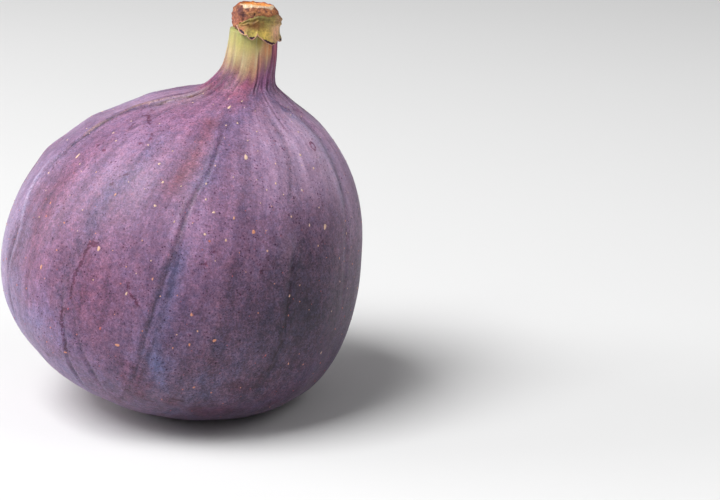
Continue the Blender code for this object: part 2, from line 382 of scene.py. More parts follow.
def make_veins(grid):
    """Fine raised veins that run from the neck down the body, each on its own wavering path."""
    rng = np.random.default_rng(VEIN_SEED)
    relief = np.zeros(grid.shape)
    for number in range(VEINS):
        centre = 2.0 * math.pi * (number + rng.uniform(-0.4, 0.4)) / VEINS
        drift = rng.uniform(-0.12, 0.12) * (grid.stations - 60.0) / 30.0
        wander = 0.05 * np.sin(grid.stations / rng.uniform(7.0, 12.0) + rng.uniform(0.0, 6.0))
        offset = angle_between(grid.around, (centre + drift + wander)[:, None])
        width = rng.uniform(*VEIN_WIDTHS)
        lowest = rng.uniform(*VEIN_LOWEST)
        along = smooth_step(lowest - 8.0, lowest + 15.0, grid.stations)
        faint = smooth_step(-0.5, 0.6, noise(grid.points, 7.0, VEIN_UNEVEN_SEED + number))
        relief += rng.uniform(0.3, 1.0) * along[:, None] * faint * bell(offset * grid.radius, width)
    return relief


def make_swellings(grid):
    return sum(height * oval(grid.around, grid.along, *where) for height, *where in SWELLINGS)


# ---- Colour zones of the skin

SKIN = make_palette(
    mauve=(126, 91, 122),
    lilac=(198, 168, 200),
    ash=(130, 108, 140),
    pale=(152, 119, 154),
    pink=(148, 98, 132),
    wine=(114, 68, 96),
    blue=(98, 89, 128),
    steel=(98, 98, 138),
    violet=(114, 98, 142),
    slate=(100, 78, 106),
    dusk=(50, 38, 60),
    earth=(87, 69, 93),
    rust=(132, 70, 80),
    olive=(118, 98, 62),
    plum=(96, 52, 80),
    # fold is the colour of the painted shade in the neck's folds.
    fold=(92, 44, 80),
    heather=(132, 84, 116),
    rose=(150, 84, 112),
    purple=(160, 108, 154),
    coral=(214, 146, 112),
    amber=(226, 142, 86),
    moss=(158, 132, 40),
    red=(198, 98, 114),
    frost=(176, 160, 192),
    dust=(164, 146, 152),
    blush=(152, 112, 106),
    tan=(172, 138, 108),
    cream=(194, 170, 124),
    green=(184, 174, 106),
    leaf=(156, 158, 88),
    straw=(206, 198, 160),
    ruddy=(186, 92, 92),
    bloom=(214, 200, 226),
)

# Broad patches: colour, strength, middle as (degrees, station), half size as (degrees, millimetres).
PATCHES = (
    ("pink", 0.7, (232, 77), (46, 9)),
    ("pale", 0.65, (228, 66), (30, 12)),
    ("ash", 0.85, (205, 31), (20, 13)),
    ("ash", 0.6, (198, 56), (9, 20)),
    # These two frost patches run along the left outline: partly pale bloom, partly a painted rim highlight.
    ("frost", 0.85, (184, 40), (20, 13)),
    ("frost", 0.6, (169, 65), (14, 14)),
    ("wine", 0.6, (246, 40), (12, 9)),
    ("pink", 0.35, (222, 42), (10, 8)),
    ("blue", 0.5, (270, 38), (12, 12)),
    ("violet", 0.7, (230, 27), (30, 7)),
    ("pale", 0.6, (264, 57), (14, 6)),
    ("pale", 0.4, (246, 28), (10, 4)),
    ("wine", 0.65, (216, 54), (7, 8)),
    ("wine", 0.4, (240, 48), (6, 5)),
    ("slate", 0.4, (207, 42), (10, 7)),
    ("pale", 0.5, (273, 57), (5, 6)),
    ("earth", 0.6, (281, 31), (11, 6)),
    ("pale", 0.45, (262, 78), (8, 3)),
    ("pale", 0.4, (284, 70), (8, 6)),
    ("earth", 0.5, (209, 42), (6, 7)),
    ("lilac", 0.5, (339, 70), (6, 5)),
    ("rust", 0.5, (350, 77), (8, 2)),
    ("pale", 0.7, (296, 66), (12, 11)),
    ("lilac", 0.75, (318, 72), (24, 9)),
    ("lilac", 0.97, (348, 70), (24, 12)),
    ("dust", 0.55, (212, 82), (20, 4)),
    ("slate", 0.6, (302, 53), (12, 7)),
    # These two patches, dark skin low on the front right: partly its own colour, partly painted shadow.
    ("dusk", 1.0, (314, 44), (22, 13)),
    ("dusk", 0.75, (307, 44), (10.5, 6)),
    ("lilac", 0.25, (306, 55), (6, 3)),
    ("dusk", 0.45, (285, 83), (5, 2.2)),
    ("dusk", 0.3, (274, 78), (4, 3)),
    ("earth", 0.4, (262, 70), (3, 3)),
    ("earth", 0.3, (218, 74), (6, 3)),
    ("frost", 0.35, (207, 78), (7, 1.6)),
    ("frost", 0.25, (229, 30), (7, 4)),
    ("lilac", 0.4, (188, 74), (13, 6)),
    ("heather", 0.35, (217, 38), (9, 4)),
    ("plum", 0.4, (266, 27.3), (8, 1.4)),
    ("plum", 0.35, (283, 28), (7, 1.3)),
    # Dark skin low on the right: partly its own colour, partly painted shadow.
    ("dusk", 0.9, (350, 40), (26, 17)),
    ("earth", 0.8, (302, 33), (20, 12)),
    ("earth", 0.9, (290, 22), (40, 9)),
    # Dark skin low on the front right: partly its own colour, partly painted shadow.
    ("dusk", 0.5, (325, 27), (26, 9)),
    ("pale", 0.7, (20, 70), (30, 12)),
    ("slate", 0.8, (30, 42), (30, 18)),
    ("pink", 0.5, (70, 74), (26, 10)),
    ("wine", 0.6, (84, 46), (22, 14)),
    ("pale", 0.6, (120, 66), (26, 12)),
    ("blue", 0.5, (118, 40), (18, 14)),
    ("ash", 0.6, (160, 52), (22, 20)),
    ("earth", 0.6, (120, 24), (70, 9)),
)

# Soft bands that run down the fruit: colour, strength, half width, path as (station, degrees).
BANDS = (
    ("wine", 0.5, 2.2, ((72, 216), (62, 217), (50, 218), (40, 221))),
    ("slate", 0.6, 1.7, ((76, 243), (65, 242), (57, 239), (47, 237), (34, 238))),
    ("blue", 0.45, 1.1, ((74, 242), (65, 241), (57, 238), (49, 237))),
    ("pale", 0.45, 2.0, ((74, 253), (62, 251), (52, 250))),
    ("rust", 0.7, 1.3, ((78, 266), (74, 263.5), (70, 262.5), (66, 261), (60, 259))),
    (
        "blue", 0.75, 1.8,
        ((87, 292), (83, 288), (80, 285), (77, 281), (74, 277), (70, 273.5), (62, 268.5)),
    ),
    ("earth", 0.8, 0.75, ((66, 270), (56, 267), (44, 266.8), (30, 265.5))),
    ("steel", 0.85, 1.1, ((55, 270), (50, 269.5), (42, 269.5), (38, 270), (33, 272.5), (29, 275))),
    ("slate", 0.5, 1.2, ((74, 287), (66, 286), (58, 286))),
    ("slate", 0.5, 1.0, ((79, 309), (72, 310), (64, 306), (56, 305))),
    ("pale", 0.4, 1.6, ((72, 294), (60, 295), (50, 296))),
    # Painted shade along the crease on the body's right.
    ("dusk", 0.8, 1.0, ((58, 308), (50, 307), (40, 309), (30, 308))),
    ("blue", 0.75, 0.8, ((86, 322), (82, 328), (78, 338), (74, 342), (69, 343))),
    ("frost", 0.8, 1.2, ((79, 333), (72, 335), (68, 339), (60, 335))),
    ("pink", 0.5, 1.3, ((80, 352), (74, 350), (66, 352))),
    ("ash", 0.7, 0.7, ((60, 209), (50, 211), (40, 213))),
    ("wine", 0.55, 1.1, ((60, 206), (50, 208), (40, 209))),
    ("olive", 0.9, 0.4, ((86, 208), (84, 213), (82.5, 217), (80, 214), (77, 208))),
    ("tan", 0.6, 0.35, ((81, 206), (78, 200), (75, 195.5), (70, 197), (65, 200))),
    # Painted shade along the shoulder crease, on its shaded side.
    ("dusk", 0.75, 0.6, ((80, 208), (78, 204), (75, 199), (71, 200), (66, 203.5), (60, 204))),
    ("dusk", 0.4, 1.2, ((55, 288), (46, 288), (38, 289), (31, 289.5), (26, 290))),
    ("frost", 0.8, 0.35, ((60, 200), (54, 202), (47, 206), (35, 206))),
    ("slate", 0.5, 1.5, ((78, 20), (66, 22), (50, 20))),
    ("blue", 0.5, 1.3, ((80, 60), (66, 66), (50, 67), (36, 66))),
    ("pale", 0.5, 1.8, ((76, 92), (60, 94), (44, 92))),
    ("slate", 0.6, 1.3, ((80, 118), (66, 111), (50, 111))),
    ("blue", 0.4, 1.6, ((78, 160), (62, 162), (44, 160))),
    ("wine", 0.5, 1.5, ((74, 178), (60, 180), (46, 178))),
)

PATCH_DRIFT_DEG, PATCH_DRIFT = 5.0, 3.5  # how far the patches' edges wander around and along
PATCH_DRIFT_CELL = 8.0
BAND_SEED, BAND_UNEVEN_SEED = 400, 440
BAND_WANDER = 1.1
# Strength of the painted shade along the body's creases and the neck's folds.
CREASE_SHADE, FOLD_SHADE = 0.6, 0.8
MOTTLED_STATIONS = (46.0, 32.0)          # where the mottling low on the fruit begins and is full
MOTTLED_SIDE = (285.0, 40.0)             # the side that is mottled most, and its half width, in degrees
MOTTLED_ELSEWHERE = 0.35
BROWN_TINT = (0.8, 0.52, 0.56)
SLATE_TINT = (0.92, 1.24, 1.34)
SPECK_TINT = (0.34, 0.14, 0.3)           # what a dark speck leaves of each channel
BLOT_TINT = (0.42, 0.14, 0.26)

# How the neck's colour runs from the body up to the stalk.
NECK_STOPS = (
    (84.6, "rose"),
    (86.4, "heather"),
    (87.6, "blush"),
    (88.9, "tan"),
    (90.6, "cream"),
    (92.4, "green"),
    (94.8, "leaf"),
)
NECK_PATCHES = (
    ("coral", 0.75, (288, 89.6), (13, 2.2)),
    ("purple", 0.8, (314, 87.2), (20, 2.8)),
    ("rose", 0.55, (283, 83), (12, 2.8)),
    ("red", 0.85, (342, 92.5), (11, 3)),
    # Orange skin under the bract's right side, lightened against the bract's shadow: partly its own colour,
    # partly painted light.
    ("amber", 1.0, (311, 92.6), (11, 1.6)),
    ("moss", 0.8, (286, 93.4), (7, 0.9)),
    # These two patches are a painted fold shadow at the front left of the neck's base.
    ("plum", 0.95, (230, 86.2), (22, 2.2)),
    ("fold", 0.4, (234, 86.2), (12, 1.3)),
    ("leaf", 0.3, (232, 90.2), (12, 1.2)),
    ("heather", 0.3, (312, 90.2), (8, 1.4)),
    ("rose", 0.65, (277, 85.8), (16, 1.8)),
    ("slate", 0.6, (294, 83.5), (11, 2.4)),
    ("slate", 0.5, (322, 83.0), (16, 3.0)),
)
NECK_COLOURED = (83.0, 86.0)             # stations over which the neck's colour takes over
PALE_STREAKS_BEGIN = (87.5, 90.5)
STREAKS = ((1.0, 1.3, 91), (0.5, 0.6, 92))
STREAK_REACH = 0.9           # how far the streaks shift the neck's colours along it
NECK_TURN = 200.0            # the degrees from which the angles of these shifts are counted
# How much higher up the colours turn, by degrees around the neck.
LEANING_SHIFTS = ((286, 0.0), (296, 1.8), (324, 1.8), (330, 6.5), (372, 6.5), (384, 1.0), (400, 0.0))


def zone_colours(grid, creases, neck_fold_shade):
    """The broad colour at each point of the skin."""
    points = grid.points
    theta = grid.around + math.radians(PATCH_DRIFT_DEG) * layered_noise(points, PATCH_DRIFT_CELL, 71)
    stations = grid.along + PATCH_DRIFT * layered_noise(points, PATCH_DRIFT_CELL, 81)
    colour = paint_patches(SKIN["mauve"], PATCHES, SKIN, theta, stations)
    for number, (name, strength, half_width, path) in enumerate(BANDS):
        offset, within = offset_from(path, grid, BAND_SEED + number, BAND_WANDER)
        uneven = 0.75 + 0.6 * layered_noise(points, 6.0, BAND_UNEVEN_SEED + number)
        colour = mix_colour(colour, SKIN[name], strength * uneven * within * bell(offset, half_width))
    colour = mottle_low(colour, grid)
    # Painted shade along the creases, darker in deeper ones.
    colour = mix_colour(colour, SKIN["dusk"], CREASE_SHADE * creases)
    return paint_neck(colour, grid, neck_fold_shade)


def mottle_low(colour, grid):
    """Brown and slate blue patches low on the fruit."""
    low = smooth_step(*MOTTLED_STATIONS, grid.along)
    middle, half_width = np.radians(MOTTLED_SIDE)
    side_share = bell(angle_between(grid.around, middle), half_width)
    low = low * (MOTTLED_ELSEWHERE + (1.0 - MOTTLED_ELSEWHERE) * side_share)
    drift = layered_noise(grid.points, 5.0, 95)
    for side, tint in ((1.0, BROWN_TINT), (-1.0, SLATE_TINT)):
        amount = low * smooth_step(0.08, 0.4, side * drift)
        colour = colour * (1.0 + amount[..., None] * (np.array(tint) - 1.0))
    return colour


def paint_neck(colour, grid, neck_fold_shade):
    """The neck turns from purple through tan to green, higher up on its leaning side."""
    streaks = summed_noise(grid.stretched, STREAKS)
    turned = (np.degrees(grid.around) - NECK_TURN) % 360.0 + NECK_TURN
    where = grid.along + STREAK_REACH * streaks - np.interp(turned, *np.transpose(LEANING_SHIFTS))
    colour = mix_colour(colour, ramp(NECK_STOPS, SKIN, where), smooth_step(*NECK_COLOURED, where))
    colour = paint_patches(colour, NECK_PATCHES, SKIN, grid.around, grid.along + 0.6 * streaks)
    pale = smooth_step(0.1, 0.8, streaks) * smooth_step(*PALE_STREAKS_BEGIN, where)
    # Pale streaks, then painted shade in the neck's folds.
    return coat(colour, (SKIN["straw"], 0.45 * pale), (SKIN["fold"], FOLD_SHADE * neck_fold_shade))


BLOT_SHARPNESS = 0.7

# Dark blots: middle as (degrees, station), half size around and along, and radius if it is a ring.
BLOTS = (
    ((241.8, 50.6), (0.8, 0.4)),
    ((214, 76), (0.8, 0.25)),
    ((222, 65.1), (0.7, 0.35)),
    ((216, 65.4), (0.5, 0.5)),
    ((237, 60.3), (0.4, 0.4)),
    ((240, 62.7), (0.45, 0.4)),
    ((235, 68.9), (0.5, 0.35)),
    ((294.5, 53.2), (0.45, 0.4)),
    ((296, 52), (0.5, 0.45)),
    ((307.3, 52.6), (0.35, 0.6)),
    ((319.5, 56.5), (0.4, 0.4)),
    ((328.5, 71.2), (0.3, 0.3), 0.65),
    ((333, 72.2), (0.3, 0.2)),
    ((277.5, 52), (0.5, 0.45)),
    ((279, 53.9), (0.45, 0.3)),
    ((229, 26), (0.7, 0.4)),
    ((267, 27), (2.4, 0.35)),
    ((282, 28.6), (2.0, 0.35)),
    ((274, 26), (1.4, 0.3)),
    ((70, 58), (0.9, 0.6)),
    ((96, 66), (0.5, 1.2)),
    ((130, 48), (1.2, 0.5)),
    ((165, 62), (0.25, 0.25), 0.5),
    ((40, 36), (0.8, 1.2)),
)

# Dark scratches: half width, how unbroken, and path as (degrees, station).
SCRATCHES = (
    (0.38, 0.95, ((243.5, 50.5), (240.5, 50), (239.8, 48.5), (240, 47), (239.4, 45.6), (239, 44.2))),
    (0.34, 0.85, ((239, 44.2), (239.6, 43), (238.8, 42.2), (240, 40.4))),
    (0.36, 0.9, ((256.5, 46.2), (257.6, 44.9), (259.5, 44.4), (261, 43.4))),
    (0.34, 0.9, ((240, 38.5), (237.4, 38), (237.8, 35.8), (239, 33), (240.5, 30.5))),
    (0.38, 0.9, ((216, 74.3), (219.5, 74.7), (223.5, 74.1), (228, 73.3))),
    (0.34, 0.8, ((219.5, 72.2), (220.5, 70.7))),
    (0.34, 0.8, ((235.5, 71.4), (237.5, 70.2))),
    (0.34, 0.85, ((307.5, 50), (307.8, 47), (308, 44))),
    (0.34, 0.8, ((308.5, 42), (307.5, 39.5), (307, 37))),
)


def radius_at(grid, station):
    return np.interp(station, grid.stations, grid.radius[:, 0])


def along_scratch(path, grid):
    """Distance of each point from a path drawn on the skin."""
    first = math.radians(path[0][0])
    around = angle_between(grid.around, first) * grid.radius
    corners = [
        (angle_between(math.radians(degrees), first) * radius_at(grid, station), station)
        for degrees, station in path
    ]
    away = np.full(grid.shape, np.inf)
    for (x, y), (next_x, next_y) in zip(corners, corners[1:]):
        run, rise = next_x - x, next_y - y
        across, up = around - x, grid.along - y
        share = np.clip((across * run + up * rise) / (run**2 + rise**2), 0.0, 1.0)
        away = np.minimum(away, np.hypot(across - share * run, up - share * rise))
    return away


def make_blots(grid):
    """How near each point is to the middle of a dark blot or scratch, from 0 to 1."""
    nearest = np.zeros(grid.shape)
    for (degrees, station), (half_around, half_along), *ring in BLOTS:
        around = angle_between(grid.around, math.radians(degrees)) * grid.radius
        along = grid.along - station
        away = np.hypot(around / half_around, along / half_along)
        if ring:
            away = np.abs(np.hypot(around, along) - ring[0]) / half_around
        nearest = np.maximum(nearest, np.exp(-BLOT_SHARPNESS * away**2))
    for half_width, unbroken, path in SCRATCHES:
        away = along_scratch(path, grid) / half_width
        nearest = np.maximum(nearest, unbroken * np.exp(-BLOT_SHARPNESS * away**2))
    return nearest


# ---- Meshes


def stack_faces(count, columns, base=0):
    """Faces of closed rings. After their points come one before the first ring and one past the last."""
    last = base + (count - 1) * columns
    start, end = last + columns, last + columns + 1
    faces = []
    for j in range(columns):
        k = (j + 1) % columns
        faces.append((start, base + k, base + j))
        faces.extend(
            (low + j, low + k, low + columns + k, low + columns + j)
            for low in range(base, last, columns)
        )
        faces.append((end, last + j, last + k))
    return faces


def sheet_faces(rows, columns):
    """Faces of an open sheet given as rows of points."""
    return [
        (low + j, low + j + 1, low + columns + j + 1, low + columns + j)
        for low in range(0, (rows - 1) * columns, columns)
        for j in range(columns - 1)
    ]


def add_object(name, data):
    """A new object in the scene."""
    made = bpy.data.objects.new(name, data)
    bpy.context.scene.collection.objects.link(made)
    return made


def add_piece(name, points, faces, maps):
    """A smooth-shaded piece from points in millimetres, with its named maps."""
    mesh = bpy.data.meshes.new(name)
    mesh.from_pydata(points * MM, [], faces)
    for key, values in maps.items():
        values = np.asarray(values, np.float32)
        kind, field = ("FLOAT", "value") if values.ndim == 1 else ("FLOAT_VECTOR", "vector")
        mesh.attributes.new(key, kind, "POINT").data.foreach_set(field, values.ravel())
    mesh.shade_smooth()
    return add_object(name, mesh)


def ring_maps(maps):
    """Flatten maps given per ring, adding the values at the two end points."""
    return {
        key: np.concatenate([values.reshape((-1,) + values.shape[2:]), values[[0, -1]].mean(axis=1)])
        for key, values in maps.items()
    }


def surface_normals(points):
    """Outward directions of a grid whose columns close on themselves."""
    around = np.roll(points, -1, axis=1) - np.roll(points, 1, axis=1)
    up = np.gradient(points, axis=0)
    normals = np.cross(around, up)
    return normals / np.linalg.norm(normals, axis=-1, keepdims=True)


def give_thickness(sheet, thickness, offset):
    solidify = sheet.modifiers.new("thickness", "SOLIDIFY")
    solidify.thickness = thickness * MM
    solidify.offset = offset
    solidify.use_even_offset = True


# ---- The skin

COLUMNS = 432
EYE_STEP, BODY_STEP, NECK_STEP = 0.25, 0.48, 0.3
EYE_END, NECK_BEGIN = 4.6, 82.0
GRAIN_LEVEL = 0.25           # brightness of the skin at which its grain has its plain strength
GRAIN_RISE = 0.75            # how fast the grain gets stronger on darker skin
STRETCH = (0.35, 0.35, 0.12) # slows a noise around the fruit, and more along it
LUMPS = ((0.16, 13.0, 21), (0.07, 5.0, 22))
WRINKLES = ((0.035, 0.8, 23),)
BODY_BEGIN, BODY_END = (5.0, 16.0), (90.0, 80.0)     # stations over which the body's relief fades
RIPE_END = (92.0, 84.0)      # stations over which the ripe skin's streaks and specks fade


def skin_grid():
    """The fine grid of the skin and what every map on it needs."""
    stations = np.concatenate([
        np.arange(EYE_STEP, EYE_END, EYE_STEP),
        np.arange(EYE_END, NECK_BEGIN, BODY_STEP),
        np.linspace(NECK_BEGIN, OUTLINE_LENGTH, round((OUTLINE_LENGTH - NECK_BEGIN) / NECK_STEP)),
    ])
    theta = full_turn(COLUMNS)
    around, along = theta[None, :], stations[:, None]
    rolled = around_axis(EQUATOR, around, along)
    return SimpleNamespace(
        stations=stations,
        along=along,
        around=around,
        points=base_surface(stations, theta, EYE),
        radius=blend_through(FRUIT_RINGS, stations)[:, :1],
        shape=(len(stations), COLUMNS),
        rolled=rolled,
        stretched=rolled * STRETCH,
    )


def skin_relief(grid, creases, folds):
    """Height of everything raised on or pressed into the smooth fruit."""
    points, stations = grid.points, grid.stations
    on_body = smooth_step(*BODY_BEGIN, stations) * smooth_step(*BODY_END, stations)
    lumps = summed_noise(points, LUMPS)
    wrinkles = summed_noise(grid.stretched, WRINKLES, layers=3)
    body = lumps + VEIN_HEIGHT * make_veins(grid) + creases + wrinkles + make_swellings(grid)
    return body * on_body[:, None] + folds


def build_skin(grid):
    """The skin as one piece, and the points of its surface for what is set into it."""
    creases, crease_shade_mask = make_creases(CREASES, grid)
    folds, fold_shade_mask = make_creases(NECK_CREASES, grid)
    relief = skin_relief(grid, creases, folds)
    points = grid.points
    surface = settle_on_floor(points + relief[..., None] * surface_normals(points))
    ends = np.array([
        settle_on_floor(base_surface(np.array([0.0]), np.zeros(1), EYE))[0, 0],
        neck_top()[0],
    ])
    zone = zone_colours(grid, crease_shade_mask, fold_shade_mask)
    maps = {
        "zone": zone,
        "grain": (GRAIN_LEVEL / zone.mean(axis=-1)) ** GRAIN_RISE,
        "rolled": grid.rolled,
        "blot": make_blots(grid),
        "ripe": smooth_step(*RIPE_END, grid.along) * np.ones(COLUMNS),
    }
    faces = stack_faces(*grid.shape)
    skin = add_piece("fig_skin", np.vstack([surface.reshape(-1, 3), ends]), faces, ring_maps(maps))
    return skin, surface


# ---- The lenticels

LENTICELS = 430
LENTICEL_SEED = 5
LENTICEL_SPACING = 1.7
LENTICEL_LOWEST = 0.6        # none lies nearer to the floor than this
LENTICEL_SIDES = 12
LENTICEL_RINGS = ((1.0, -0.03), (0.8, 0.03), (0.45, 0.055))      # share of the radius, height
LENTICEL_TOP, LENTICEL_FOOT = 0.06, -0.12
LENTICEL_INSIDE = (0.0, 0.6, 1.0)        # how far inside a lenticel each ring lies
LENTICEL_SHARES = ((12, 0.0), (30, 0.7), (55, 1.0), (80, 1.0), (84, 0.5), (87, 0.0))     # by station
LENTICEL_SHRINKING = ((78, 1.0), (87, 0.6))          # by station
LENTICEL_WIDTHS = (0.07, 0.13)
LENTICEL_STRETCHES = (0.85, 1.7)
LENTICEL = make_palette(
    cream=(224, 192, 168),
    peach=(212, 142, 112),
    red=(188, 94, 102),
    rim=(146, 100, 120),
)
# The larger ones: degrees, station, half width around, half length along, and 0 cream to 1 red.
LARGE_LENTICELS = (
    (212, 62, 0.22, 0.6, 0.0),
    (286, 69.6, 0.28, 0.62, 0.1),
    (273, 80.5, 0.24, 0.5, 0.05),
    (291, 57.7, 0.34, 0.32, 0.55),
    (244, 50, 0.3, 0.42, 0.3),
    (258, 36, 0.42, 0.28, 0.5),
    (286, 41, 0.34, 0.3, 0.55),
    (226, 43, 0.26, 0.44, 0.45),
    (321, 58.6, 0.34, 0.5, 0.2),
    (255, 63, 0.22, 0.22, 0.0),
    (256, 59, 0.26, 0.2, 0.05),
    (276, 60, 0.22, 0.22, 0.1),
    (316, 70, 0.22, 0.22, 0.15),
    (250, 66, 0.2, 0.24, 0.0),
    (240, 30, 0.3, 0.2, 0.6),
    (275, 56.5, 0.24, 0.2, 0.15),
    (277, 55.6, 0.2, 0.18, 0.8),
    (60, 64, 0.26, 0.5, 0.05),
    (104, 57, 0.3, 0.3, 0.3),
    (150, 68, 0.22, 0.5, 0.0),
)


def scatter_lenticels(grid, surface):
    """Places and sizes of all lenticels, spread evenly over the skin by a fixed rule."""
    rng = np.random.default_rng(LENTICEL_SEED)
    share = np.interp(grid.stations, *np.transpose(LENTICEL_SHARES))
    weight = np.cumsum(share * grid.radius[:, 0] * np.gradient(grid.stations))
    places = [(math.radians(row[0]), *row[1:]) for row in LARGE_LENTICELS]
    while len(places) < LENTICELS:
        station = np.interp(rng.uniform(0.0, weight[-1]), weight, grid.stations)
        theta = rng.uniform(0.0, 2.0 * math.pi)
        width = rng.uniform(*LENTICEL_WIDTHS) + 0.09 * rng.uniform() ** 3
        width *= np.interp(station, *np.transpose(LENTICEL_SHRINKING))
        length = width * rng.uniform(*LENTICEL_STRETCHES)
        red = np.clip((62.0 - station) / 45.0 + rng.normal(0.1, 0.22), 0.0, 1.0)
        radius = radius_at(grid, station)
        clear = all(
            math.hypot(angle_between(theta, other[0]) * radius, station - other[1]) > LENTICEL_SPACING
            for other in places
        )
        height = read_surface(surface, grid, theta, station)[2]
        if clear and height > LENTICEL_LOWEST:
            places.append((theta, station, width, length, red))
    return np.array(places)


def read_surface(surface, grid, theta, station):
    """Points of the skin at any angles and stations, blended from the four grid points around."""
    rows = len(grid.stations)
    row = np.interp(station, grid.stations, np.arange(rows))
    column = (theta / (2.0 * math.pi) * COLUMNS) % COLUMNS
    i = np.clip(np.floor(row).astype(int), 0, rows - 2)
    j = np.floor(column).astype(int) % COLUMNS
    k = (j + 1) % COLUMNS
    up, across = (row - i)[..., None], (column - np.floor(column))[..., None]
    low = (1.0 - across) * surface[i, j] + across * surface[i, k]
    high = (1.0 - across) * surface[i + 1, j] + across * surface[i + 1, k]
    return (1.0 - up) * low + up * high


def build_lenticels(grid, surface):
    """All lenticels as one piece: irregular oval domes with their feet sunk in the skin."""
    rng = np.random.default_rng(LENTICEL_SEED + 1)
    normals = surface_normals(surface)
    turn = full_turn(LENTICEL_SIDES)
    points, faces, tint, inside = [], [], [], []
    for theta, station, width, length, red in scatter_lenticels(grid, surface):
        radius = radius_at(grid, station)
        uneven = 1.0 + 0.14 * np.sin(2 * turn + rng.uniform(0, 6))
        uneven += 0.12 * np.sin(3 * turn + rng.uniform(0, 6))
        normal = read_surface(normals, grid, theta, station)
        base = len(points)
        for share, height in LENTICEL_RINGS:
            around = theta + share * width * uneven * np.cos(turn) / radius
            along = station + share * length * uneven * np.sin(turn)
            points.extend(read_surface(surface, grid, around, along) + height * normal)
        middle = read_surface(surface, grid, theta, station)
        points.extend((middle + LENTICEL_FOOT * normal, middle + LENTICEL_TOP * normal))
        faces.extend(stack_faces(len(LENTICEL_RINGS), LENTICEL_SIDES, base))
        tint.extend([red] * (len(points) - base))
        inside.extend(np.repeat(LENTICEL_INSIDE, LENTICEL_SIDES))
        inside.extend((0.0, 1.0))
    return add_piece("fig_lenticels", np.array(points), faces, {"tint": tint, "inside": inside})


# ---- The stalk

STALK_RINGS = (              # radius and height above the neck's end, from below up and in over the cut
    (3.1, 0.02),
    (3.5, 0.2),
    (3.65, 0.9),
    (3.68, 1.8),
    (3.74, 2.5),
    (3.6, 3.05),
    (3.15, 3.55),
    (2.74, 3.95),
    (2.45, 3.95),
    (2.1, 3.78),
    (1.0, 3.72),
    (0.1, 3.72),
)
STALK_COLUMNS = 260
STALK_ROWS = 150
CUT_SLOPE = -0.03
CUT_STATION = 4.5            # distance along the stalk's outline where the bark ends at the cut
CUT_LIP = 0.4                # how much sooner it ends at the front, where the cut left a pale lip
CUT_RAGGED = ((0.34, 0.9, 40), (0.17, 0.35, 42))
CUT_RIM_RADIUS = 2.45
BARK_ROUGH = ((0.12, 1.5, 41), (0.11, 0.42, 45))
STALK = make_palette(
    bark=(142, 88, 64),
    dark=(84, 50, 58),
    pale=(176, 110, 90),
    rust=(160, 98, 56),
    amber=(204, 136, 88),
    tan=(190, 126, 88),
    olive=(126, 98, 58),
    orange=(218, 126, 44),
    peach=(232, 180, 126),
    cream=(220, 194, 166),
    scorch=(156, 74, 40),
    pit=(50, 30, 36),
)
BARK_PATCHES = (             # colour, strength, (degrees, height), half size
    ("dark", 0.9, (232, 3.1), (26, 0.7)),
    ("dark", 0.6, (252, 3.4), (10, 0.4)),
    ("pale", 0.9, (206, 1.6), (30, 1.0)),
    ("rust", 0.7, (272, 3.2), (24, 0.5)),
    ("olive", 0.6, (268, 2.9), (24, 0.35)),
    # Orange bark on the side away from the key light, made lighter there: partly its own colour, partly
    # painted light.
    ("amber", 0.9, (318, 3.2), (30, 0.55)),
    ("pale", 0.4, (356, 2.6), (20, 0.8)),
    ("dark", 0.7, (40, 2.6), (26, 0.9)),
    ("rust", 0.6, (95, 2.4), (26, 0.8)),
    ("dark", 0.6, (150, 3.0), (20, 0.6)),
)


def stalk_relief(ring, bark, radius):
    """Granular bark, and soft fibres and a ragged rim on the cut."""
    rough = summed_noise(ring, BARK_ROUGH, layers=3)
    pits = -0.11 * smooth_step(0.25, 0.7, noise(ring * [1.6, 1.6, 0.7], 0.6, 47))
    fibres = 0.05 * noise(ring * [0.5, 2.2, 1.0], 0.5, 48) + 0.06 * noise(ring, 1.1, 49)
    rim = 0.16 * noise(ring, 0.6, 50) * bell(radius - CUT_RIM_RADIUS, 0.3)
    return bark * (rough + pits) + (1.0 - bark) * (fibres + rim) * smooth_step(0.1, 0.6, radius)


def stalk_colours(ring, bark, theta, radius):
    """Bark in rust, purple and tan, and a cut that is orange behind and cream along its front rim."""
    broad = layered_noise(ring, 1.1, 52)
    grains = layered_noise(ring, 0.36, 55)
    streak = layered_noise(ring * [0.4, 2.4, 1.0], 0.9, 58)
    height = ring[..., 2] + 0.25 * broad
    colour = coat(
        paint_patches(STALK["bark"], BARK_PATCHES, STALK, theta + 0.2 * broad, height),
        (STALK["dark"], 0.7 * smooth_step(0.08, 0.5, -grains)),
        (STALK["tan"], 0.7 * smooth_step(0.1, 0.5, grains)),
    )
    front = smooth_step(0.2, 1.0, -ring[..., 1] + 0.25 * ring[..., 0] + broad + 0.9 * streak)
    cut = coat(
        STALK["orange"],
        (STALK["peach"], smooth_step(-0.35, 0.45, streak - 0.12 * ring[..., 1])),
        (STALK["cream"], 0.95 * front),
        (STALK["peach"], 0.75 * smooth_step(0.0, 0.45, grains)),
        (STALK["scorch"], (1.0 - front) * smooth_step(2.2, 2.5, radius)),
    )
    return mix_colour(cut, colour, bark)


def bark_share(ring, theta, stations):
    """1 on the bark and 0 on the cut, with a ragged line between them."""
    lip = CUT_LIP * smooth_step(0.1, -0.7, np.sin(theta)) * (1.0 + 0.5 * np.cos(theta))
    past = stations + summed_noise(ring, CUT_RAGGED) - (CUT_STATION - lip)
    return smooth_step(0.1, -0.1, past)


